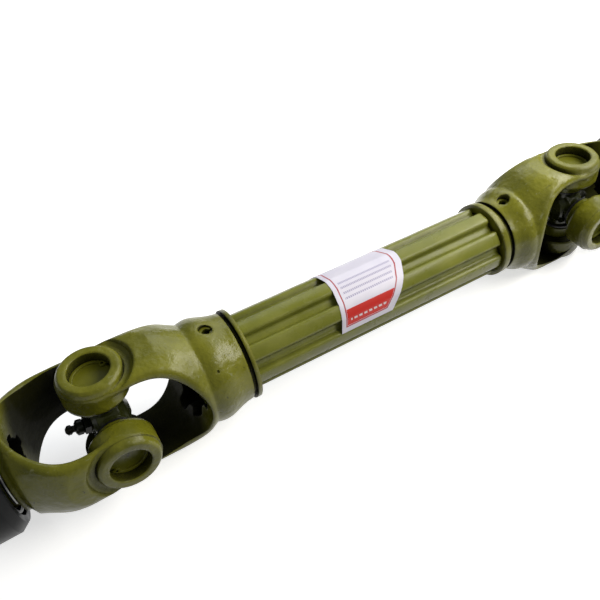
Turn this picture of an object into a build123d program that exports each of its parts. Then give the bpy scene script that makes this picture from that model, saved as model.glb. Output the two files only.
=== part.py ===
from build123d import *
import os
from math import asin, atan, atan2, cos, degrees, floor, hypot, pi, radians, sin, sqrt

# A telescoping cardan drive shaft for a tractor power take-off, lying closed up on a flat floor.
# X runs along the tubes, from the outer tube's end (left) to the inner tube's end (right). Z is up.
# The origin is on the floor, under the middle of the shaft. All sizes are in millimetres.

# Shaft as a whole
cross_spacing = 406.5      # between the two cross centres with the tubes pushed together
ear_face = 46.5            # from a cross centre to the flat outer face of a yoke ear

# Universal joint cross and its bearings
cap_radius = 13.5          # bearing cap and its bore
cap_fit = 0.01             # a cap is this much smaller than its bore, on the radius
cap_recess = 9.2           # from an ear's face in to the closed end of its cap
cap_outer_face = ear_face - cap_recess
cap_length = 18.6
cap_floor = 2.4
cap_edge = 0.8
trunnion_radius = 8.65
trunnion_end_gap = 0.2     # between a trunnion's end and the floor of its cap
trunnion_edge = 0.8
roller_radius = 1.25
roller_length = 13.0
roller_play = 0.02         # radial play on each side of a roller
roller_spacing = 0.08      # least gap between neighbouring rollers
cross_shoulder_radius = 10.8
cross_shoulder_reach = 16.0
cross_body_radius = 15.8
cross_dome_reach = 15.0    # along the shaft, on the side away from the nipple
cross_face_reach = 10.8    # along the shaft, on the nipple's side
cross_ring_place = 7.0     # raised ring on the dome's side
cross_ring_slope = 1.2
cross_ring_step = 2.2
cross_draft = 1.0
cross_bevel = 5.0          # at the rims of the body, across and along the shaft
cross_bevel_length = 3.0
cross_dome_edge = 0.8
cross_dome_flat = 4.0      # radius of the flat at the dome's top
grease_way = 2.0           # radius of the drilled grease ways
seal_radius = 12.9
seal_height = 2.3

# Snap rings that keep the caps in the ears
snap_ring_thickness = 1.5
snap_ring_depth = 1.0      # how far a ring stands in its groove
snap_ring_band = 2.6
snap_ring_mouth = 56.0     # opening between the ring's ends, degrees
snap_lug_radius = 2.3
snap_lug_hole = 0.9
snap_groove_play = 0.05

# Ears and arms, the same on all four yokes
ear_wall = 6.9             # round the cap's bore
ear_radius = cap_radius + ear_wall          # raised round boss at the ear's face
ear_root_step = 1.6
ear_root_radius = ear_radius + ear_root_step     # the ear lower down, and half the arm's width
ear_thickness = 19.5
ear_inner_face = ear_face - ear_thickness
ear_edge = 1.6             # slope at the ear's rims
bore_chamfer = 0.6
arm_drop = 0.1             # the arm's outer face lies this much under the ear's face
arm_reach = ear_face - arm_drop
arm_crown = 100.0          # radius of that face across the arm
arm_side_rise = 1.6        # the arm's sides are turned this much larger than its outer face
arm_side_radius = arm_reach + arm_side_rise
arm_rounding = 5.0         # along the arm's outer edges
arm_level = 28.0           # the arm keeps that height this far from the cross centre
arm_flare_end = 66.0       # from there the arms widen to the hub, out to here
arm_flare_lean = 0.5       # slope along the shaft for each millimetre out, where the flare ends
valley_depth = 4.8         # hollow between an ear's boss and the arm
valley_floor = arm_reach - valley_depth
valley_width = 4.6
arm_wall = 8.4
mouth_radius = arm_side_radius - arm_wall        # round opening between the arms
mouth_centre = 20.0

# Star tubes
lobes = 8
lobe_turn = 6.0            # the first ridge stands this many degrees in front of the top
tube_radius = 27.4         # over the ridges of the outer tube
flute_depth = 5.1
flute_floor_radius = tube_radius - flute_depth
ridge_half_width = 5.6
flute_half_width = 2.4
ridge_round = 2.0
tube_wall = 3.5
tube_gap = 0.35            # sliding gap between the two tubes
inner_tube_wall = 3.6      # at the flutes; its bore is round
tube_seat_play = 0.04
outer_tube_end_gap = 2.0   # between the outer tube's end and the right yoke's rim
inner_tube_inset = 26.0    # inner tube's end, beyond the left end of the outer tube

# Hubs of the two inner yokes, which hold the tubes
left_hub_wall = 5.0
left_hub_radius = tube_radius + left_hub_wall
left_neck_swell = 5.1
left_neck_radius = left_hub_radius + left_neck_swell     # greatest radius of the swelling behind the arms
left_neck_place = 69.0     # from the cross centre
left_waist_dip = 1.1
left_waist_radius = left_neck_radius - left_waist_dip    # the dip between the arms and that swelling
left_waist_place = 63.5
left_groove_start = 92.3
left_groove_width = 2.8
left_rim_width = 3.0
right_hub_wall = 1.8
right_hub_radius = tube_radius + right_hub_wall
right_neck_swell = 5.4
right_neck_radius = right_hub_radius + right_neck_swell
right_neck_place = 66.5
right_waist_rise = 0.3
right_waist_radius = right_neck_radius + right_waist_rise
right_waist_place = 62.0
right_groove_start = 80.3
right_groove_width = 4.9
right_rim_width = 5.3
rim_step = 1.0             # how far the rim stands above the hub
groove_depth = 2.6
tube_stop = 62.5           # from the cross centre to the tube's end inside the hub
hub_mouth_chamfer = 1.2
cast_pit_radius = 1.0
cast_pit_place = 71.7
cast_pit_turn = 49.0       # from the top towards the front

# Spring pins through hub and tube
pin_radius = 4.8
pin_fit = 0.01
pin_bore = 2.9
pin_slot = 2.0
left_pin_place = 77.0      # from the cross centre
right_pin_place = 71.2
left_pin_stand = 1.2       # half the pin's length, over the hub's radius
right_pin_stand = 0.4
left_pin_half = left_hub_radius + left_pin_stand
right_pin_half = right_hub_radius + right_pin_stand

# End yokes with a splined bore
spline_count = 6
spline_bore_radius = 14.95
spline_slot_depth = 2.55
spline_root_radius = spline_bore_radius + spline_slot_depth
spline_slot_width = 8.75
spline_lead = 3.2          # chamfer at the mouth of the splines
end_hub_wall = 7.9
end_hub_radius = spline_root_radius + end_hub_wall
end_hub_edge = 1.5
spring_seat_width = 5.6
shoulder_radius = end_hub_radius + spring_seat_width
shoulder_slope = 5.5
shoulder_corner_radius = shoulder_radius + shoulder_slope
shoulder_corner = 61.0     # where the arms' shoulder ends, from the cross centre
shoulder_start = 64.5
spring_seat = 67.0         # flat face that the collar's spring stands on
end_hub_end = 110.0

# Locking collar with its taper, balls, spring and retaining ring
collar_chamber_room = 7.0  # between the hub and the hollow that holds the spring
collar_chamber_radius = end_hub_radius + collar_chamber_room
collar_wall = 8.6
collar_radius = collar_chamber_radius + collar_wall
collar_bevel = 4.0
collar_face_radius = collar_radius - collar_bevel
collar_front = 70.0        # from the cross centre
collar_land_start = 75.5
collar_back = 100.0
collar_back_edge = 2.0
collar_travel = 6.0
collar_play = 0.1
collar_step = 84.0         # inner step that the spring pushes on
collar_step_thickness = 4.6
taper_end = 97.2
collar_pocket_room = 6.0
collar_pocket_radius = end_hub_radius + collar_pocket_room
ball_count = 3
ball_place = 91.4
ball_stand = 0.15          # a locked ball's inmost point, outside the splines' own bore
ball_inner_reach = spline_bore_radius + ball_stand
ball_rise = 0.8            # how far a locked ball stands out of the hub
ball_radius = (end_hub_radius + ball_rise - ball_inner_reach) / 2
ball_travel = 2.4
ball_play = 0.08
spring_wire = 1.3          # radius of the wire
spring_turns = 3.2
spring_room = 3.8
spring_radius = end_hub_radius + spring_room
keeper_thickness = 2.0     # retaining ring that keeps the collar on
keeper_stand = 5.2
keeper_radius = end_hub_radius + keeper_stand
keeper_depth = 1.4
keeper_gap = 0.3
keeper_fit = 0.02
keeper_mouth = 8.0

# Grease nipples
nipple_tilt = 12.0         # leans from the shaft's axis towards an ear of the inner yoke
nipple_drop = 3.2          # its line passes the cross centre by this much, on the other side
nipple_seat = 12.6         # from the cross centre
nipple_boss_radius = 6.2
nipple_hex = 10.4          # across the flats
nipple_hex_height = 4.0
nipple_body_radius = 5.2
nipple_body = 5.6
nipple_body_edge = 1.2
nipple_neck_radius = 2.3
nipple_neck = 1.8
nipple_head_radius = 3.25
nipple_head = 4.4
nipple_shank_radius = 3.0
nipple_shank = 6.5
nipple_fit = 0.01
nipple_way = 0.9

# Paper label on the outer tube
label_thickness = 0.3
label_glue = 0.05          # thickness of the glue under the paper
label_front_angle = 84.0   # from the top, down the front
label_back_angle = 60.0    # from the top, down the back
label_left = -37.9         # the left edge at the height of the shaft axis
label_left_lean = 0.22     # and how far it leans for each millimetre up
label_right = 4.1
label_right_lean = 0.87

# Places that follow from those sizes
half_spacing = cross_spacing / 2
roller_circle = trunnion_radius + roller_play + roller_radius
cap_bore_radius = roller_circle + roller_radius + roller_play
cap_open_face = cap_outer_face - cap_length
trunnion_end = cap_outer_face - cap_floor - trunnion_end_gap
roller_end = cap_outer_face - cap_floor - trunnion_end_gap
roller_count = floor(pi / asin((roller_radius + roller_spacing / 2) / roller_circle))
ball_rest = ball_inner_reach + ball_radius
taper_rise = ball_travel / collar_travel
taper_at_ball = ball_rest + (ball_radius + ball_play) * sqrt(1 + taper_rise ** 2)
inner_depth = tube_wall + tube_gap
collar_rest_edge = collar_back - collar_back_edge
axis_height = ear_face
droop = degrees(asin(axis_height / hypot(collar_rest_edge, collar_radius)) - atan(collar_radius / collar_rest_edge))

left_centre = Pos(-half_spacing, 0, axis_height)
right_centre = Pos(half_spacing, 0, axis_height)
turn_about = Rot(0, 0, 180)
ears_level = Rot(90, 0, 0)
left_end_place = left_centre * Rot(0, -droop, 0) * turn_about * ears_level
right_end_place = right_centre * Rot(0, droop, 0) * ears_level


def turned(points, axis=Axis.X):
    """Turn a closed outline, given as (along, out) pairs, about the X or Z axis."""
    if axis == Axis.X:
        return revolve(make_face(Polyline(*points, close=True)), Axis.X)
    face = make_face(Polyline(*[(out, along) for along, out in points], close=True))
    return revolve(Plane.XZ * face, Axis.Z)


def along_x(section, start, end):
    """Push a section out along X between two places. The section's own x lies along Y."""
    return Pos(start, 0, 0) * extrude(Plane.YZ * section, end - start)


def polar(radius, angle):
    return (radius * cos(angle), radius * sin(angle))


# Star section of the tubes

def star_corners(depth):
    """Radius and half angle of a ridge, then of a flute, with the wall set in by depth."""
    half_pitch = pi / lobes
    ridge = (sqrt(tube_radius ** 2 - ridge_half_width ** 2), ridge_half_width)
    flute_along = sqrt(flute_floor_radius ** 2 - flute_half_width ** 2)
    flute = (
        flute_along * cos(half_pitch) + flute_half_width * sin(half_pitch),
        flute_along * sin(half_pitch) - flute_half_width * cos(half_pitch),
    )
    run = hypot(ridge[0] - flute[0], ridge[1] - flute[1])
    along = ((ridge[0] - flute[0]) / run, (ridge[1] - flute[1]) / run)
    across = (-along[1], along[0])
    reach = ridge[0] * across[0] + ridge[1] * across[1] - depth
    corners = []
    for radius in (tube_radius - depth, flute_floor_radius - depth):
        travel = sqrt(radius ** 2 - reach ** 2)
        point = (across[0] * reach + along[0] * travel, across[1] * reach + along[1] * travel)
        corners.append((radius, atan2(point[1], point[0])))
    return corners


def star_section(depth):
    """The star outline: round ridges and flutes joined by straight flanks, corners rounded."""
    (ridge, ridge_angle), (flute, flute_angle) = star_corners(depth)
    pitch = 2 * pi / lobes
    edges = []
    for lobe in range(lobes):
        middle = pitch * lobe
        start = polar(ridge, middle - ridge_angle)
        end = polar(ridge, middle + ridge_angle)
        low = polar(flute, middle + flute_angle)
        next_low = polar(flute, middle + pitch - flute_angle)
        next_start = polar(ridge, middle + pitch - ridge_angle)
        edges.append(ThreePointArc(start, polar(ridge, middle), end))
        edges.append(Line(end, low))
        edges.append(ThreePointArc(low, polar(flute, middle + pitch / 2), next_low))
        edges.append(Line(next_low, next_start))
    face = make_face(edges)
    rounding = min(ridge_round, 0.8 * ridge * ridge_angle)
    return fillet(face.vertices(), rounding)


def star_bar(start, end, depth, turn=lobe_turn):
    """A solid star bar along X, its ridges turned to where they stand on the shaft."""
    return along_x(Rot(0, 0, 90 + turn) * star_section(depth), start, end)


def pin_hole(place):
    """Cross hole through hub and tube for the spring pin, straight up and down."""
    return Pos(place, 0, 0) * Cylinder(pin_radius + pin_fit, 4 * tube_radius)


def outer_tube(start, end, pin_place):
    return star_bar(start, end, 0) - star_bar(start - 1, end + 1, tube_wall) - pin_hole(pin_place)


def inner_tube(start, end, pin_place):
    """The thicker tube that slides inside: star-shaped outside, round inside."""
    bore = along_x(Circle(flute_floor_radius - inner_depth - inner_tube_wall), start - 1, end + 1)
    return star_bar(start, end, inner_depth) - bore - pin_hole(pin_place)


# Yokes. Each is made about its cross centre, with its ears up and down and its hub along +X.

def both_ears(shape):
    return shape + Rot(180, 0, 0) * shape


def ear():
    """One ear: a round boss with a flat face above, a slight slope at each rim and a flat pad."""
    return turned([
        (ear_inner_face, 0),
        (ear_inner_face, ear_root_radius - ear_edge / 2),
        (ear_inner_face + ear_edge, ear_root_radius),
        (valley_floor - 2 * ear_edge, ear_root_radius),
        (ear_face - ear_edge, ear_radius),
        (ear_face, ear_radius - ear_edge),
        (ear_face, 0),
    ], Axis.Z)


def ear_hollow():
    """The hollow between the round boss and the arm's swell, and the space above the boss."""
    clear = arm_side_radius + 5
    return turned([
        (valley_floor, ear_radius - ear_edge),
        (valley_floor, ear_root_radius + valley_width / 2),
        (valley_floor + ear_edge, ear_root_radius + valley_width),
        (clear, ear_root_radius + 2 * valley_width),
        (clear, 0),
        (ear_face, 0),
        (ear_face, ear_radius - ear_edge),
    ], Axis.Z)


def ear_bore():
    """Bore for the bearing cap, with the snap ring's groove and a chamfered mouth."""
    groove_end = cap_outer_face + snap_ring_thickness + snap_groove_play
    groove_radius = cap_radius + snap_ring_depth + snap_groove_play
    mouth = cap_radius + bore_chamfer
    return turned([
        (ear_inner_face - 1, 0),
        (ear_inner_face - 1, cap_radius),
        (cap_outer_face, cap_radius),
        (cap_outer_face, groove_radius),
        (groove_end, groove_radius),
        (groove_end, cap_radius),
        (ear_face - bore_chamfer, cap_radius),
        (ear_face, mouth),
        (ear_face + 1, mouth),
        (ear_face + 1, 0),
    ], Axis.Z)


def arm_plan(end):
    """Plan of the arms: as wide as the ears, round at the ear, flaring out to the hub."""
    half = ear_root_radius
    wide = arm_side_radius + 5
    return make_face([
        Line((0, half), (arm_level, half)),
        Spline((arm_level, half), (arm_flare_end, wide), tangents=((1, 0), (arm_flare_lean, 1))),
        Line((arm_flare_end, wide), (end, wide)),
        Line((end, wide), (end, -wide)),
        Line((end, -wide), (arm_flare_end, -wide)),
        Spline((arm_flare_end, -wide), (arm_level, -half), tangents=((-arm_flare_lean, 1), (-1, 0))),
        Line((arm_level, -half), (0, -half)),
        ThreePointArc((0, -half), (-half, 0), (0, half)),
    ])


def arm_section(end):
    """Slightly crowned tops for the arms, running the whole length of the yoke."""
    centre = arm_crown - arm_reach
    length = end + 2 * ear_root_radius
    top = Pos(end / 2, 0, -centre) * Rot(0, 90, 0) * Cylinder(arm_crown, length)
    bottom = Pos(end / 2, 0, centre) * Rot(0, 90, 0) * Cylinder(arm_crown, length)
    return top & bottom


def arm_edges(blank, waist_place):
    """The long outer edges of the two arms, out to where they run into the hub."""
    edges = []
    for edge in blank.edges():
        box = edge.bounding_box()
        beside = abs(edge.center().Y) > 1
        split = edge.geom_type == GeomType.LINE and box.size.Z > ear_root_radius
        if beside and box.max.X < waist_place and not split:
            edges.append(edge)
    return edges


def yoke_blank(back, end, waist_place):
    """The forging's outside: turned about the shaft, narrowed to two arms with rounded edges."""
    front = -(ear_root_radius + 2)
    outline = make_face([
        Line((end, 0), (front, 0)),
        Line((front, 0), (front, arm_side_radius)),
        Line((front, arm_side_radius), (arm_level, arm_side_radius)),
    ] + back)
    wide = arm_side_radius + 5
    blank = revolve(outline, Axis.X) & extrude(arm_plan(end + 1), wide, both=True)
    blank = fillet(arm_edges(blank, waist_place), min(arm_rounding, 0.6 * arm_wall))
    return blank & arm_section(end + 1)


def yoke_body(back, end, waist_place):
    """The blank with its round mouth, the gap between the ears, the ears and their bores."""
    front = -(ear_root_radius + 2)
    wide = arm_side_radius + 5
    mouth = Pos(mouth_centre, 0, 0) * Rot(90, 0, 0) * Cylinder(mouth_radius, 2 * wide)
    gap = Pos((front + mouth_centre) / 2, 0, 0) * Box(mouth_centre - front, 2 * wide, 2 * ear_inner_face)
    body = yoke_blank(back, end, waist_place) - mouth - gap - both_ears(ear_hollow())
    return body + both_ears(ear()) - both_ears(ear_bore())


def inner_yoke(hub, neck, waist, groove, rim_width, depth, turn, pin_place):
    """Yoke that holds a tube: swelling neck, guard groove and rim, star bore and pin hole.

    Neck, waist and groove are (place, size) pairs along the shaft from the cross centre."""
    groove_start, groove_width = groove
    rim_start = groove_start + groove_width
    end = rim_start + rim_width
    rim = hub + rim_step
    back = [
        Spline((arm_level, arm_side_radius), waist, tangents=((1, 0), (1, -0.5))),
        Spline(waist, neck, (groove_start, hub), tangents=((1, 0.3), (1, -0.1))),
        Polyline(
            (groove_start, hub),
            (groove_start, hub - groove_depth),
            (rim_start, hub - groove_depth),
            (rim_start, rim),
            (end, rim),
            (end, 0),
        ),
    ]
    ridge = tube_radius - depth
    lead = Pos(end, 0, 0) * Rot(0, 90, 0) * Cone(
        ridge - hub_mouth_chamfer, ridge + hub_mouth_chamfer, 2 * hub_mouth_chamfer
    )
    body = yoke_body(back, end, waist[0]) - star_bar(mouth_centre, end + 1, depth - tube_seat_play, turn)
    return body - lead - pin_hole(pin_place)


def cast_pit():
    """A small round pit in the neck, left by the forging's die."""
    turn = Rot(cast_pit_turn, 0, 0)
    return turn * Pos(cast_pit_place, 0, left_neck_radius) * Sphere(cast_pit_radius)


def spline_bore(end):
    """Round bore with straight-sided slots, opening into the mouth, with a lead chamfer."""
    start = mouth_centre
    bore = along_x(Circle(spline_bore_radius), start, end + 1)
    slot = along_x(Rectangle(spline_slot_width, 2 * spline_root_radius), start, end + 1)
    root = along_x(Circle(spline_root_radius), start, end + 1)
    slots = slot
    for index in range(1, spline_count // 2):
        slots = slots + Rot(360 / spline_count * index, 0, 0) * slot
    lead = Pos(end, 0, 0) * Rot(0, 90, 0) * Cone(
        spline_root_radius - spline_lead, spline_root_radius + spline_lead, 2 * spline_lead
    )
    return bore + (slots & root) + lead


def ball_angle(index):
    """Balls stand over every other spline slot."""
    return 360 / ball_count * index


def end_yoke():
    """Yoke that slides on a splined stub, with its collar's seat, ball holes and keeper groove."""
    back = [
        Spline(
            (arm_level, arm_side_radius),
            (shoulder_corner, shoulder_corner_radius),
            (end_hub_end, shoulder_radius),
            tangents=((1, 0), (1, 0)),
        ),
        Line((end_hub_end, shoulder_radius), (end_hub_end, 0)),
    ]
    front = -2 * ear_root_radius
    clear = 1.1 * arm_side_radius
    envelope = turned([
        (front, 0),
        (front, clear),
        (shoulder_corner, clear),
        (shoulder_corner, shoulder_corner_radius),
        (shoulder_start, shoulder_radius),
        (spring_seat, shoulder_radius),
        (spring_seat, end_hub_radius),
        (end_hub_end - end_hub_edge, end_hub_radius),
        (end_hub_end, end_hub_radius - end_hub_edge),
        (end_hub_end, 0),
    ])
    body = (yoke_body(back, end_hub_end, shoulder_corner) & envelope) - spline_bore(end_hub_end)
    for index in range(ball_count):
        body = body - Rot(ball_angle(index), 0, 0) * ball_pocket()
    floor_radius = end_hub_radius - keeper_depth
    groove = along_x(Circle(end_hub_radius + 1) - Circle(floor_radius), keeper_start(), keeper_end())
    return body - groove


def keeper_start():
    return taper_end + keeper_gap


def keeper_end():
    return keeper_start() + keeper_thickness


def ball_pocket():
    """Radial hole whose round inner seat keeps the ball from falling into the bore."""
    radius = ball_radius + ball_play
    height = end_hub_radius + 1 - ball_rest
    hole = Cylinder(radius, height, align=(Align.CENTER, Align.CENTER, Align.MIN))
    return Pos(ball_place, 0, ball_rest) * (hole + Sphere(radius))


# Cross and bearings. A cross has trunnions along Y and Z. A bearing is made about the +Z one.

def cross():
    hub = turned([
        (-cross_face_reach, 0),
        (-cross_face_reach, cross_body_radius - cross_bevel),
        (-cross_face_reach + cross_bevel_length, cross_body_radius - cross_draft),
        (0, cross_body_radius),
        (cross_ring_place, cross_body_radius),
        (cross_ring_place + cross_ring_slope, cross_body_radius - cross_ring_step),
        (cross_dome_reach - cross_bevel_length, cross_body_radius - cross_bevel),
        (cross_dome_reach - cross_dome_edge, cross_body_radius - 2 * cross_bevel),
        (cross_dome_reach, cross_dome_flat),
        (cross_dome_reach, 0),
    ])
    trunnion = turned([
        (0, 0),
        (0, cross_shoulder_radius),
        (cross_shoulder_reach, cross_shoulder_radius),
        (cross_shoulder_reach, trunnion_radius),
        (trunnion_end - trunnion_edge, trunnion_radius),
        (trunnion_end, trunnion_radius - trunnion_edge),
        (trunnion_end, 0),
    ], Axis.Z)
    upright = both_ears(trunnion)
    level = ears_level * upright
    ways = Cylinder(grease_way, 3 * trunnion_end)
    return hub + upright + level + nipple_boss() - ways - ears_level * ways - nipple_bore()


def nipple_place(reach):
    """On the nipple's line, which leaves the cross along -X and leans towards +Z."""
    return Pos(0, 0, -nipple_drop) * Rot(0, nipple_tilt, 0) * Pos(-reach, 0, 0) * Rot(0, -90, 0)


def nipple_boss():
    return nipple_place(0) * Cylinder(
        nipple_boss_radius, nipple_seat, align=(Align.CENTER, Align.CENTER, Align.MIN)
    )


def nipple_bore():
    radius = nipple_shank_radius + nipple_fit
    upward = (Align.CENTER, Align.CENTER, Align.MIN)
    seat = nipple_place(nipple_seat - nipple_shank) * Cylinder(radius, nipple_shank + 1, align=upward)
    return seat + nipple_place(0) * Cylinder(grease_way, nipple_seat, align=upward)


def grease_nipple():
    """Hexagon, round body, narrow neck and head, with a threaded shank and a fine way through."""
    hex_top = nipple_hex_height
    body_top = hex_top + nipple_body
    neck_top = body_top + nipple_neck
    head_top = neck_top + nipple_head
    stem = turned([
        (-nipple_shank, 0),
        (-nipple_shank, nipple_shank_radius),
        (0, nipple_shank_radius),
        (hex_top, nipple_body_radius - nipple_body_edge),
        (hex_top + nipple_body_edge, nipple_body_radius),
        (body_top - nipple_body_edge, nipple_body_radius),
        (body_top, nipple_body_radius - 1.5 * nipple_body_edge),
        (body_top, nipple_neck_radius),
        (neck_top, nipple_neck_radius),
        (neck_top + 0.9, nipple_head_radius),
        (head_top - 1.6, nipple_head_radius),
        (head_top - 0.4, nipple_head_radius - 1.3),
        (head_top, nipple_head_radius - 1.9),
        (head_top, 0),
    ], Axis.Z)
    flats = extrude(RegularPolygon(nipple_hex / 2, 6, major_radius=False), hex_top)
    way = Cylinder(nipple_way, 4 * head_top)
    return nipple_place(nipple_seat) * (stem + flats - way)


def bearing_cap():
    """Closed cup with a rounded bottom rim, its open end towards the cross."""
    radius = cap_radius - cap_fit
    return turned([
        (cap_open_face, cap_bore_radius),
        (cap_open_face, radius),
        (cap_outer_face - cap_edge, radius),
        (cap_outer_face, radius - cap_edge),
        (cap_outer_face, 0),
        (cap_outer_face - cap_floor, 0),
        (cap_outer_face - cap_floor, cap_bore_radius),
    ], Axis.Z)


def needle_rollers():
    roller = Pos(roller_circle, 0, roller_end - roller_length / 2) * Cylinder(roller_radius, roller_length)
    step = 360 / roller_count
    return [Rot(0, 0, step * index) * roller for index in range(roller_count)]


def seal():
    """Rubber ring pressed on the trunnion's shoulder, with a lip towards the cap."""
    top = cross_shoulder_reach + seal_height
    lip = seal_radius - 1.4
    return turned([
        (cross_shoulder_reach, trunnion_radius),
        (cross_shoulder_reach, seal_radius - 0.5),
        (cross_shoulder_reach + 0.5, seal_radius),
        (top - 0.5, seal_radius),
        (top, lip),
        (top, trunnion_radius + 1.2),
        (top - 0.8, trunnion_radius),
    ], Axis.Z)


def snap_ring():
    """Open ring that springs into the ear's groove, with a drilled lug at each end."""
    outer = cap_radius + snap_ring_depth
    inner = outer - snap_ring_band
    lug_circle = inner + 0.3
    half_mouth = radians(snap_ring_mouth / 2)
    reach = 2 * outer
    wedge = make_face(Polyline((0, 0), polar(reach, half_mouth), polar(reach, -half_mouth), close=True))
    section = Circle(outer) - Circle(inner) - wedge
    for side in (1, -1):
        lug = Pos(*polar(lug_circle, side * (half_mouth + snap_lug_radius / lug_circle)))
        section = section + lug * Circle(snap_lug_radius) - lug * Circle(snap_lug_hole)
    return Pos(0, 0, cap_outer_face) * extrude(section, snap_ring_thickness)


# Pins, collars and label

def spring_pin(place, half):
    """A tube of spring steel, slit along its length."""
    slit = Pos(pin_radius, 0, 0) * Box(2 * pin_radius, pin_slot, 3 * half)
    tube = Cylinder(pin_radius, 2 * half) - Cylinder(pin_bore, 3 * half) - slit
    return Pos(place, 0, 0) * tube


def taper_radius(place):
    """Inside of the collar's taper, which just clears the balls and opens away from the joint."""
    return taper_at_ball + taper_rise * (place - ball_place)


def release_collar():
    guide = end_hub_radius + collar_play
    taper_start = ball_place + (guide - taper_at_ball) / taper_rise
    return turned([
        (collar_front, collar_chamber_radius),
        (collar_front, collar_face_radius),
        (collar_land_start, collar_radius),
        (collar_back - collar_back_edge, collar_radius),
        (collar_back, collar_radius - collar_back_edge),
        (collar_back, collar_pocket_radius),
        (taper_end, collar_pocket_radius),
        (taper_end, taper_radius(taper_end)),
        (taper_start, guide),
        (collar_step, guide),
        (collar_step, collar_chamber_radius),
    ])


def locking_ball(index):
    return Rot(ball_angle(index), 0, 0) * Pos(ball_place, 0, ball_rest) * Sphere(ball_radius)


def collar_spring():
    """Coil of round wire between the yoke's seat and the collar's inner step."""
    height = collar_step - spring_seat - 2 * spring_wire
    path = Helix(pitch=height / spring_turns, height=height, radius=spring_radius)
    coil = sweep(Plane(path @ 0, z_dir=path % 0) * Circle(spring_wire), path)
    return Pos(spring_seat + spring_wire, 0, 0) * Rot(0, 90, 0) * coil


def collar_keeper():
    """Flat ring sprung into the hub's groove, opened at one place."""
    inner = end_hub_radius - keeper_depth + keeper_fit
    ring = Circle(keeper_radius) - Circle(inner)
    mouth = Pos(0, keeper_radius) * Rectangle(keeper_mouth, 2 * keeper_radius)
    return along_x(ring - mouth, keeper_start() + keeper_fit, keeper_end() - keeper_fit)


def label_outline(extra):
    """Paper pulled tight over the ridges: round on each ridge, straight across each flute."""
    radius, half_angle = star_corners(0)[0]
    pitch = 2 * pi / lobes
    edges = []
    for lobe in range(lobes):
        middle = pitch * lobe
        end = polar(radius + extra, middle + half_angle)
        start = polar(radius + extra, middle - half_angle)
        next_start = polar(radius + extra, middle + pitch - half_angle)
        edges.append(ThreePointArc(start, polar(radius + extra, middle), end))
        edges.append(Line(end, next_start))
    return Rot(0, 0, 90 + lobe_turn) * make_face(edges)


def label():
    wrap = label_outline(label_glue + label_thickness) - label_outline(label_glue)
    reach = cross_spacing / 4
    shell = along_x(wrap, -reach, reach)
    top = 2 * tube_radius
    sheet = None
    for side, angle in ((-1, label_front_angle), (1, label_back_angle)):
        low = tube_radius * cos(radians(angle))
        outline = make_face(Polyline(
            (label_left + label_left_lean * low, low),
            (label_left + label_left_lean * top, top),
            (label_right + label_right_lean * top, top),
            (label_right + label_right_lean * low, low),
            close=True,
        ))
        half = shell & extrude(Plane.XZ * outline, -side * top)
        sheet = half if sheet is None else sheet + half
    return Pos(0, 0, axis_height) * sheet


# Putting it together

def save(name, shapes, place=Location()):
    """Write one node. Several shapes stay separate solids in the same node."""
    group = shapes if isinstance(shapes, list) else [shapes]
    solids = [solid for shape in group for solid in (place * shape).solids()]
    export_step(solids[0] if len(solids) == 1 else Compound(children=solids), f"parts/{name}.step")


def save_joint(side, centre, inner_place, end_place, cross_turn):
    """Cross, its four bearings and the snap rings of the two yokes it joins."""
    shape = {"cap": bearing_cap(), "rollers": needle_rollers(), "seal": seal(), "ring": snap_ring()}
    flip = Rot(180, 0, 0)
    save(f"cross_{side}", cross(), centre * cross_turn)
    save(f"grease_nipple_{side}", grease_nipple(), centre * cross_turn)
    for yoke, yoke_place, names in (
        ("inner_yoke", inner_place, ("top", "bottom")),
        ("end_yoke", end_place, ("front", "back")),
    ):
        for name, turn in zip(names, (Location(), flip)):
            save(f"bearing_cap_{side}_{name}", shape["cap"], yoke_place * turn)
            save(f"needle_rollers_{side}_{name}", shape["rollers"], yoke_place * turn)
            seal_turn = turn if yoke == "inner_yoke" else ears_level * turn
            save(f"seal_{side}_{name}", shape["seal"], centre * seal_turn)
        save(f"snap_rings_{side}_{yoke}", [shape["ring"], flip * shape["ring"]], yoke_place)


def save_end(side, place):
    """End yoke with its collar, spring, balls and keeper."""
    save(f"end_yoke_{side}", end_yoke(), place)
    save(f"release_collar_{side}", release_collar(), place)
    save(f"collar_spring_{side}", collar_spring(), place)
    save(f"collar_retaining_ring_{side}", collar_keeper(), place)
    for index in range(ball_count):
        save(f"locking_ball_{side}_{index + 1}", locking_ball(index), place)


os.makedirs("parts", exist_ok=True)

outer_start = -half_spacing + tube_stop
outer_end = half_spacing - right_groove_start - right_groove_width - right_rim_width - outer_tube_end_gap
inner_start = outer_start + inner_tube_inset
inner_end = half_spacing - tube_stop
shaft_axis = Pos(0, 0, axis_height)

save("outer_tube", outer_tube(outer_start, outer_end, left_pin_place - half_spacing), shaft_axis)
save("inner_tube", inner_tube(inner_start, inner_end, half_spacing - right_pin_place), shaft_axis)
save("label", label())

left_yoke = inner_yoke(
    left_hub_radius,
    (left_neck_place, left_neck_radius),
    (left_waist_place, left_waist_radius),
    (left_groove_start, left_groove_width),
    left_rim_width, 0, lobe_turn, left_pin_place,
)
right_yoke = inner_yoke(
    right_hub_radius,
    (right_neck_place, right_neck_radius),
    (right_waist_place, right_waist_radius),
    (right_groove_start, right_groove_width),
    right_rim_width, inner_depth, -lobe_turn, right_pin_place,
)
save("inner_yoke_left", left_yoke - cast_pit(), left_centre)
save("inner_yoke_right", right_yoke, right_centre * turn_about)
save("spring_pin_left", spring_pin(left_pin_place, left_pin_half), left_centre)
save("spring_pin_right", spring_pin(right_pin_place, right_pin_half), right_centre * turn_about)

save_joint("left", left_centre, left_centre, left_end_place, Location())
save_joint("right", right_centre, right_centre * turn_about, right_end_place, Rot(0, 180, 0))
save_end("left", left_end_place)
save_end("right", right_end_place)
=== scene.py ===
import bpy
from mathutils import Matrix, Vector


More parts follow.
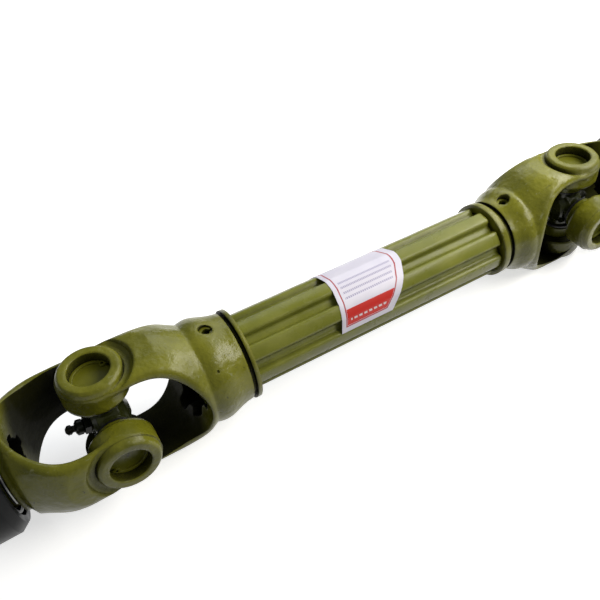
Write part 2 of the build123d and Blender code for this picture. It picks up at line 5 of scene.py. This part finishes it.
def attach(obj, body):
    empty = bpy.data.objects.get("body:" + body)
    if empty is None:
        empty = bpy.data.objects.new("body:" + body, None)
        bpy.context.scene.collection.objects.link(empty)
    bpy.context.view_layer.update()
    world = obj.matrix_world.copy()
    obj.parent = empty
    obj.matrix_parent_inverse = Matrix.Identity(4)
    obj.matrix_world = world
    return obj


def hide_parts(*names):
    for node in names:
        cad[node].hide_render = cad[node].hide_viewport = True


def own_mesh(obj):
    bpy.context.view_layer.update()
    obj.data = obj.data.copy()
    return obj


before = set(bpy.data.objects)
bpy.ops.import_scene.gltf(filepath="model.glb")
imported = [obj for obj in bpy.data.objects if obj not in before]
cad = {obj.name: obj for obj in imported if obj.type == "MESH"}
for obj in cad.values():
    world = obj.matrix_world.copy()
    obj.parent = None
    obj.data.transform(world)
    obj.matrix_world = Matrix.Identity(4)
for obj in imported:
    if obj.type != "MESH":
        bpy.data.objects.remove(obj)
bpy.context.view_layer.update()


# Camera. It looks down on the shaft from above and in front, near enough for the left joint
# to look clearly larger than the right one.
lens_mm = 40.53
sensor_mm = 36.0
camera_place = (-0.2096, -0.3080, 0.3991)
camera_right = Vector((0.86061, -0.50491, -0.06651)).normalized()
camera_up = Vector((0.39131, 0.57202, 0.72088)).normalized()
lens = bpy.data.cameras.new("camera")
lens.sensor_width = sensor_mm
lens.lens = lens_mm
lens.clip_start = 0.01
camera = bpy.data.objects.new("camera", lens)
axes = Matrix((camera_right, camera_up, camera_right.cross(camera_up))).transposed()
camera.matrix_world = Matrix.Translation(camera_place) @ axes.to_4x4()
bpy.context.scene.collection.objects.link(camera)
bpy.context.scene.camera = camera
bpy.context.scene.view_settings.view_transform = "Standard"


# Floor. A sheet of card that looks white to the camera and in reflections. The light that it
# throws back up on the shaft is that of a dull grey card, so that the undersides stay dark.
floor_reach = 6.0
floor_height = -0.0004
card_glow = 0.62


def linear(code):
    """An sRGB hex colour as linear light, with full alpha."""
    parts = [int(code[i:i + 2], 16) / 255 for i in (1, 3, 5)]
    return [c / 12.92 if c <= 0.04045 else ((c + 0.055) / 1.055) ** 2.4 for c in parts] + [1.0]


def add(tree, kind, settings=(), links=()):
    """Add a node, set its properties and inputs, and link sockets into its inputs."""
    node = tree.nodes.new(kind)
    for name, value in dict(settings).items():
        if isinstance(name, str) and hasattr(node, name):
            setattr(node, name, value)
        else:
            node.inputs[name].default_value = value
    for name, socket in dict(links).items():
        tree.links.new(socket, node.inputs[name])
    return node


def empty_material(name):
    """A material with nothing in it but its output."""
    material = bpy.data.materials.new(name)
    material.use_nodes = True
    tree = material.node_tree
    tree.nodes.clear()
    return material, tree, tree.nodes.new("ShaderNodeOutputMaterial")


card_material, tree, out = empty_material("white card")
place = add(tree, "ShaderNodeTexCoord").outputs["Object"]
fibre = add(tree, "ShaderNodeTexNoise", {"Scale": 900.0, "Detail": 3.0}, {"Vector": place})
tone = add(tree, "ShaderNodeMix", {"data_type": "RGBA", 6: linear("#f3f3f2"), 7: linear("#fafafa")},
           {0: fibre.outputs["Fac"]})
white = add(tree, "ShaderNodeBsdfDiffuse", {}, {"Color": tone.outputs[2]})
dull = add(tree, "ShaderNodeBsdfDiffuse", {"Color": linear("#4a4a48")})
rays = add(tree, "ShaderNodeLightPath").outputs
seen = add(tree, "ShaderNodeMath", {"operation": "ADD"},
           {0: rays["Is Camera Ray"], 1: rays["Is Glossy Ray"]})
seen = add(tree, "ShaderNodeMath", {"operation": "ADD", "use_clamp": True},
           {0: seen.outputs[0], 1: rays["Is Transmission Ray"]})
glow = add(tree, "ShaderNodeMath", {"operation": "MULTIPLY", 1: card_glow}, {0: seen.outputs[0]})
glow = add(tree, "ShaderNodeEmission", {}, {"Strength": glow.outputs[0]})
card = add(tree, "ShaderNodeMixShader", {}, {0: seen.outputs[0], 1: dull.outputs[0], 2: white.outputs[0]})
card = add(tree, "ShaderNodeAddShader", {}, {0: card.outputs[0], 1: glow.outputs[0]})
tree.links.new(card.outputs[0], out.inputs["Surface"])

corners = [(x * floor_reach, y * floor_reach, floor_height) for x, y in ((-1, -1), (1, -1), (1, 1), (-1, 1))]
card_mesh = bpy.data.meshes.new("floor")
card_mesh.from_pydata(corners, [], [(0, 1, 2, 3)])
card_mesh.materials.append(card_material)
floor = bpy.data.objects.new("floor", card_mesh)
bpy.context.scene.collection.objects.link(floor)


# Light. One long soft box high over the right half, which is where the highlights on the tube
# point to, a wide weaker one behind for the upper edges, and a dim even sky.
sky_light = 0.24
sky_seen = 1.1


def softbox(name, place, aim, width, height, power, colour):
    """A rectangular lamp that faces a point."""
    data = bpy.data.lights.new(name, "AREA")
    data.shape = "RECTANGLE"
    data.size = width
    data.size_y = height
    data.energy = power
    data.color = linear(colour)[:3]
    light = bpy.data.objects.new(name, data)
    light.location = place
    light.rotation_euler = (Vector(aim) - Vector(place)).to_track_quat("-Z", "Y").to_euler()
    bpy.context.scene.collection.objects.link(light)


softbox("key softbox", place=(0.50, -0.16, 0.56), aim=(0.19, 0, 0.04), width=0.85, height=0.30,
        power=7.2, colour="#fffbf2")
softbox("back softbox", place=(0.80, 0.85, 1.0), aim=(0.05, 0, 0.03), width=1.5, height=1.0,
        power=9.0, colour="#f4f8ff")
world = bpy.data.worlds.new("studio")
bpy.context.scene.world = world
world.use_nodes = True
sky = world.node_tree.nodes["Background"]
sky.inputs["Color"].default_value = linear("#eef2f8")
rays = add(world.node_tree, "ShaderNodeLightPath").outputs
strength = add(world.node_tree, "ShaderNodeMapRange", {"To Min": sky_light, "To Max": sky_seen},
               {"Value": rays["Is Camera Ray"]})
world.node_tree.links.new(strength.outputs[0], sky.inputs["Strength"])


# Star tubes. Two drawn steel tubes with eight rounded ridges, one sliding in the other. Both have
# a coat of olive gloss paint, smooth along the ridges, with painted shade deep in the flutes.
def finish_with(names, material):
    """Give CAD nodes a material."""
    for name in names:
        node = cad[name]
        node.data.materials.clear()
        node.data.materials.append(material)


def gloss_paint(name, colours, edge, shade_reach, lumps, gloss, shine=0.34, scuffs=0.0, axis=None):
    """Gloss paint on steel.

    colours: light, dark, and the painted shade in hollows
    edge: radius of the paint over sharp edges
    shade_reach: how far from a surface the walls of its own piece still shelter it and lay painted shade on
    it
    lumps: (scale, height) pairs for the skin under the paint
    gloss, shine: roughness, and strength of the reflection
    scuffs: how strongly pale scuffs show
    axis: height of the long axis; walls that face it are darkened with painted shade
    """
    material, tree, out = empty_material(name)
    place = add(tree, "ShaderNodeTexCoord").outputs["Object"]
    light, dark, painted_shade = [linear(colour) for colour in colours]

    drift = add(tree, "ShaderNodeTexNoise", {"Scale": 26.0, "Detail": 7.0, "Roughness": 0.62},
                {"Vector": place})
    tone = add(tree, "ShaderNodeMapRange", {"From Min": 0.35, "From Max": 0.65},
               {"Value": drift.outputs["Fac"]})
    colour = add(tree, "ShaderNodeMix", {"data_type": "RGBA", 6: dark, 7: light},
                 {0: tone.outputs[0]}).outputs[2]

    normal = add(tree, "ShaderNodeBevel", {"samples": 6, "Radius": edge}).outputs[0]
    for scale, height in lumps:
        noise = add(tree, "ShaderNodeTexNoise", {"Scale": scale, "Detail": 3.0, "Roughness": 0.55},
                    {"Vector": place})
        normal = add(tree, "ShaderNodeBump", {"Distance": height},
                     {"Height": noise.outputs["Fac"], "Normal": normal}).outputs[0]

    haze = add(tree, "ShaderNodeTexNoise", {"Scale": 55.0, "Detail": 4.0}, {"Vector": place})
    rough = add(tree, "ShaderNodeMapRange",
                {"From Min": 0.3, "From Max": 0.7, "To Min": gloss * 0.75, "To Max": gloss * 1.6},
                {"Value": haze.outputs["Fac"]}).outputs[0]

    if scuffs:
        stretched = add(tree, "ShaderNodeMapping", {"Scale": (1.0, 2.6, 0.8)}, {"Vector": place})
        scratch = add(tree, "ShaderNodeTexNoise", {"Scale": 120.0, "Detail": 8.0, "Roughness": 0.75},
                      {"Vector": stretched.outputs[0]})
        for low, high, share, tint in ((0.61, 0.66, scuffs, "#8f9168"), (0.37, 0.33, 0.85, "#26270c")):
            marks = add(tree, "ShaderNodeMapRange", {"From Min": low, "From Max": high, "To Max": share},
                        {"Value": scratch.outputs["Fac"]})
            colour = add(tree, "ShaderNodeMix", {"data_type": "RGBA", 7: linear(tint)},
                         {0: marks.outputs[0], 6: colour}).outputs[2]

    # Painted shade: where the piece's own walls close in round a surface, and with an axis given, on walls
    # that face the axis, the paint colour turns to the third colour.
    walls = add(tree, "ShaderNodeAmbientOcclusion", {"samples": 8, "only_local": True, "Distance": shade_reach})
    unshaded = add(tree, "ShaderNodeMapRange",
                   {"From Min": 0.40, "From Max": 0.70, "interpolation_type": "SMOOTHSTEP"},
                   {"Value": walls.outputs["AO"]}).outputs[0]
    if axis:
        across = add(tree, "ShaderNodeVectorMath",
                     {"operation": "MULTIPLY_ADD", 1: (0, 1, 1), 2: (0, 0, -axis)}, {0: place})
        outward = add(tree, "ShaderNodeVectorMath", {"operation": "NORMALIZE"}, {0: across.outputs[0]})
        facing = add(tree, "ShaderNodeTexCoord").outputs["Normal"]
        outer = add(tree, "ShaderNodeVectorMath", {"operation": "DOT_PRODUCT"},
                    {0: facing, 1: outward.outputs[0]})
        outward_unshaded = add(tree, "ShaderNodeMapRange",
                      {"From Min": -0.45, "From Max": -0.05, "To Min": 0.12,
                       "interpolation_type": "SMOOTHSTEP"},
                      {"Value": outer.outputs["Value"]})
        unshaded = add(tree, "ShaderNodeMath", {"operation": "MULTIPLY"},
                       {0: unshaded, 1: outward_unshaded.outputs[0]}).outputs[0]

    # The painted shade goes into the colour here; the same mask also roughens the paint and weakens its
    # reflection.
    colour = add(tree, "ShaderNodeMix", {"data_type": "RGBA", 6: painted_shade},
                 {0: unshaded, 7: colour}).outputs[2]
    rough = add(tree, "ShaderNodeMix", {2: 0.7}, {0: unshaded, 3: rough}).outputs[0]
    reflection = add(tree, "ShaderNodeMapRange", {"To Min": shine * 0.12, "To Max": shine},
                     {"Value": unshaded})
    paint = add(tree, "ShaderNodeBsdfPrincipled",
                {"IOR": 1.45, "Coat Weight": 0.08, "Coat Roughness": 0.12},
                {"Base Color": colour, "Roughness": rough, "Normal": normal,
                 "Specular IOR Level": reflection.outputs[0]})
    tree.links.new(paint.outputs[0], out.inputs["Surface"])
    return material


tube_paint = gloss_paint("olive gloss paint on drawn tube", ("#7e8030", "#686c1f", "#1c1f0c"),
                         edge=0.0030, shade_reach=0.016, lumps=[(60.0, 0.00012), (900.0, 0.000006)], gloss=0.26)
finish_with(["outer_tube", "inner_tube"], tube_paint)


# Yokes. Forgings with a scaly, lumpy skin under the same paint. It is chipped and scuffed outside,
# and painted shade darkens it nearly black inside the mouths. The inner yokes are pinned to the tubes.
axis_height = 0.0465
forging_paint = gloss_paint("olive gloss paint on forged steel", ("#7d7c20", "#5c5d13", "#0b0c06"),
                            edge=0.0030, shade_reach=0.12,
                            lumps=[(38.0, 0.0016), (130.0, 0.0008), (700.0, 0.00004)],
                            gloss=0.27, scuffs=0.7, axis=axis_height)
finish_with([name for name in cad if name.startswith(("inner_yoke", "end_yoke"))],
            forging_paint)


# Spring pins, bearing caps and snap rings. They were in place when the yokes were painted,
# so the same paint runs over them and stands in the recesses of the ears.
# The third colour is painted shade in the parts' own hollows.
fitted_paint = gloss_paint("olive gloss paint on fitted parts", ("#71711a", "#585a12", "#14150a"),
                           edge=0.0009, shade_reach=0.006, lumps=[(90.0, 0.0002), (600.0, 0.00002)],
                           gloss=0.3, scuffs=0.5)
finish_with([name for name in cad if name.startswith(("spring_pin", "bearing_cap", "snap_rings"))],
            fitted_paint)


# Crosses. Forged steel with ground trunnions that run in the caps. The body's olive paint is
# painted dark, nearly black, as painted shade between the ears.
cross_paint = gloss_paint("olive paint darkened with painted shade", ("#3a3f18", "#1e210b", "#080906"),
                          edge=0.0012, shade_reach=0.02, lumps=[(110.0, 0.0003), (600.0, 0.00002)], gloss=0.22)
finish_with([name for name in cad if name.startswith("cross_")], cross_paint)


# Seals. Rings of moulded black rubber at the mouths of the caps, pressed on the crosses'
# shoulders. They have a fine dusty grain.
def plain_surface(name, light, dark, roughness, metallic, scale, height):
    """A surface of one substance: colour drift, roughness drift and a fine grain."""
    material, tree, out = empty_material(name)
    place = add(tree, "ShaderNodeTexCoord").outputs["Object"]
    noise = add(tree, "ShaderNodeTexNoise", {"Scale": scale, "Detail": 6.0, "Roughness": 0.6},
                {"Vector": place})
    colour = add(tree, "ShaderNodeMix", {"data_type": "RGBA", 6: linear(dark), 7: linear(light)},
                 {0: noise.outputs["Fac"]})
    rough = add(tree, "ShaderNodeMapRange", {"To Min": roughness * 0.8, "To Max": roughness * 1.25},
                {"Value": noise.outputs["Fac"]})
    bump = add(tree, "ShaderNodeBump", {"Distance": height}, {"Height": noise.outputs["Fac"]})
    body = add(tree, "ShaderNodeBsdfPrincipled", {"Metallic": metallic},
               {"Base Color": colour.outputs[2], "Roughness": rough.outputs[0], "Normal": bump.outputs[0]})
    tree.links.new(body.outputs[0], out.inputs["Surface"])
    return material


rubber = plain_surface("moulded black rubber", "#1a1a19", "#0b0b0b", roughness=0.55, metallic=0.0,
                       scale=400.0, height=0.00003)
finish_with([name for name in cad if name.startswith("seal")], rubber)


# Grease nipples. Turned steel, screwed into the crosses, blackened and oily.
# The third colour is painted shade where a nipple shelters itself.
nipple_steel = gloss_paint("oily blackened steel", ("#1d1f16", "#0d0e0a", "#050504"),
                           edge=0.0004, shade_reach=0.01, lumps=[(500.0, 0.00004)], gloss=0.24, shine=0.25)
finish_with([name for name in cad if name.startswith("grease_nipple")], nipple_steel)


# Locking collars. Turned steel rings that slide on the hubs of the end yokes, with a smooth
# black enamel.
# The third colour is painted shade where a collar shelters itself.
collar_black = gloss_paint("black enamel on turned steel", ("#0d0f11", "#050607", "#020202"),
                           edge=0.0012, shade_reach=0.02, lumps=[(70.0, 0.00008), (800.0, 0.00001)],
                           gloss=0.3, shine=0.12)
finish_with([name for name in cad if name.startswith("release_collar")], collar_black)


# Rollers, locking balls and the rings that keep the collars on. They sit in the caps and behind
# the collars: ground steel, bare and lightly oiled.
bearing_steel = plain_surface("ground bearing steel", "#b9bab8", "#949592", roughness=0.25, metallic=1.0,
                              scale=900.0, height=0.000004)
finish_with([name for name in cad if name.startswith(("needle_rollers", "locking_ball", "collar_retaining"))],
            bearing_steel)


# Collar springs. Coils of round spring wire between the end yoke's seat and the collar's step.
spring_steel = plain_surface("oiled spring steel", "#8d8e8b", "#5f605e", roughness=0.32, metallic=1.0,
                             scale=500.0, height=0.000008)
for side in ("left", "right"):
    node = cad["collar_spring_" + side]
    coil = bpy.data.objects.new("collar_coil_" + side, node.data.copy())
    coil.data.materials.clear()
    coil.data.materials.append(spring_steel)
    bpy.context.scene.collection.objects.link(coil)
    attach(coil, "end_" + side)
    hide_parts("collar_spring_" + side)
    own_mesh(coil)


# Label. Coated paper glued askew round the tube: a red rule set in from the edges, a red block
# across the foot with plain white bars, and rows of plain grey bars where small print would be.
paper_radius = 0.0277
left_edge, left_lean = -0.0379, 0.22
right_edge, right_lean = 0.0016, 0.95
foot = 0.0406
block_top = 0.0245
print_start, print_pitch, print_height = 0.0035, 0.0042, 0.0016
margins = {
    "rule": (0.0034, 0.0050),
    "within the rule": (0.0044, 0.0062),
    "block": (0.0046, 0.0064),
    "print": (0.0065, 0.0085),
    "bars": (0.0075, 0.0095),
}
bars = {"bars": (0.0042, 0.62, 0.0315, 0.0352)}
for row in range(4):
    start = print_start + print_pitch * row
    bars["row %d" % row] = (0.0011 + 0.0002 * row, 0.7, start, start + print_height)

paper, tree, out = empty_material("coated label paper with red print")
place = add(tree, "ShaderNodeTexCoord").outputs["Object"]
parts = add(tree, "ShaderNodeSeparateXYZ", {}, {0: place}).outputs

# Each step: a name, an operation, and its terms, which are numbers or earlier names. They give
# distances on the paper, in from both leaning edges and down round the tube, and then the masks.
steps = [
    ("front", "MULTIPLY", "y", -1.0),
    ("above", "SUBTRACT", "z", axis_height),
    ("turn", "ARCTAN2", "front", "above"),
    ("down", "MULTIPLY", "turn", paper_radius),
    ("left lean", "MULTIPLY", "above", left_lean),
    ("left edge", "ADD", "left lean", left_edge),
    ("right lean", "MULTIPLY", "above", right_lean),
    ("right edge", "ADD", "right lean", right_edge),
    ("from left", "SUBTRACT", "x", "left edge"),
    ("from right", "SUBTRACT", "right edge", "x"),
]
for name, (left, right) in margins.items():
    steps += [
        (name + " past left", "GREATER_THAN", "from left", left),
        (name + " past right", "GREATER_THAN", "from right", right),
        (name + " over foot", "LESS_THAN", "down", foot - left),
        (name + " across", "MULTIPLY", name + " past left", name + " past right"),
        (name + " field", "MULTIPLY", name + " across", name + " over foot"),
    ]
for name, (step, filled, top, bottom) in bars.items():
    steps += [
        (name + " count", "DIVIDE", "x", step),
        (name + " cell", "FRACT", name + " count", 0.0),
        (name + " filled", "LESS_THAN", name + " cell", filled),
        (name + " under top", "GREATER_THAN", "down", top),
        (name + " over bottom", "LESS_THAN", "down", bottom),
        (name + " band", "MULTIPLY", name + " under top", name + " over bottom"),
        (name + " line", "MULTIPLY", name + " filled", name + " band"),
    ]
steps += [
    ("rule", "SUBTRACT", "rule field", "within the rule field"),
    ("block under top", "GREATER_THAN", "down", block_top),
    ("block", "MULTIPLY", "block field", "block under top"),
    ("white bars", "MULTIPLY", "bars line", "bars field"),
    ("upper rows", "MAXIMUM", "row 0 line", "row 1 line"),
    ("lower rows", "MAXIMUM", "row 2 line", "row 3 line"),
    ("rows", "MAXIMUM", "upper rows", "lower rows"),
    ("print", "MULTIPLY", "rows", "print field"),
]
sockets = {"x": parts["X"], "y": parts["Y"], "z": parts["Z"]}
for name, operation, *terms in steps:
    numbers = {i: term for i, term in enumerate(terms) if isinstance(term, float)}
    linked = {i: sockets[term] for i, term in enumerate(terms) if isinstance(term, str)}
    sockets[name] = add(tree, "ShaderNodeMath", {"operation": operation, **numbers}, linked).outputs[0]

stain = add(tree, "ShaderNodeTexNoise", {"Scale": 60.0, "Detail": 5.0}, {"Vector": place})
colour = add(tree, "ShaderNodeMix", {"data_type": "RGBA", 6: linear("#cfcbdc"), 7: linear("#e9e6f0")},
             {0: stain.outputs["Fac"]}).outputs[2]
for mark, ink in (("print", "#a9a3c0"), ("rule", "#a83a45"), ("block", "#c8261c"), ("white bars", "#e8dde0")):
    colour = add(tree, "ShaderNodeMix", {"data_type": "RGBA", 7: linear(ink)},
                 {0: sockets[mark], 6: colour}).outputs[2]
creases = add(tree, "ShaderNodeTexNoise", {"Scale": 45.0, "Detail": 2.0}, {"Vector": place})
crumple = add(tree, "ShaderNodeBump", {"Distance": 0.0002}, {"Height": creases.outputs["Fac"]})
sheet = add(tree, "ShaderNodeBsdfPrincipled", {"Roughness": 0.38},
            {"Base Color": colour, "Normal": crumple.outputs[0]})
tree.links.new(sheet.outputs[0], out.inputs["Surface"])
finish_with(["label"], paper)
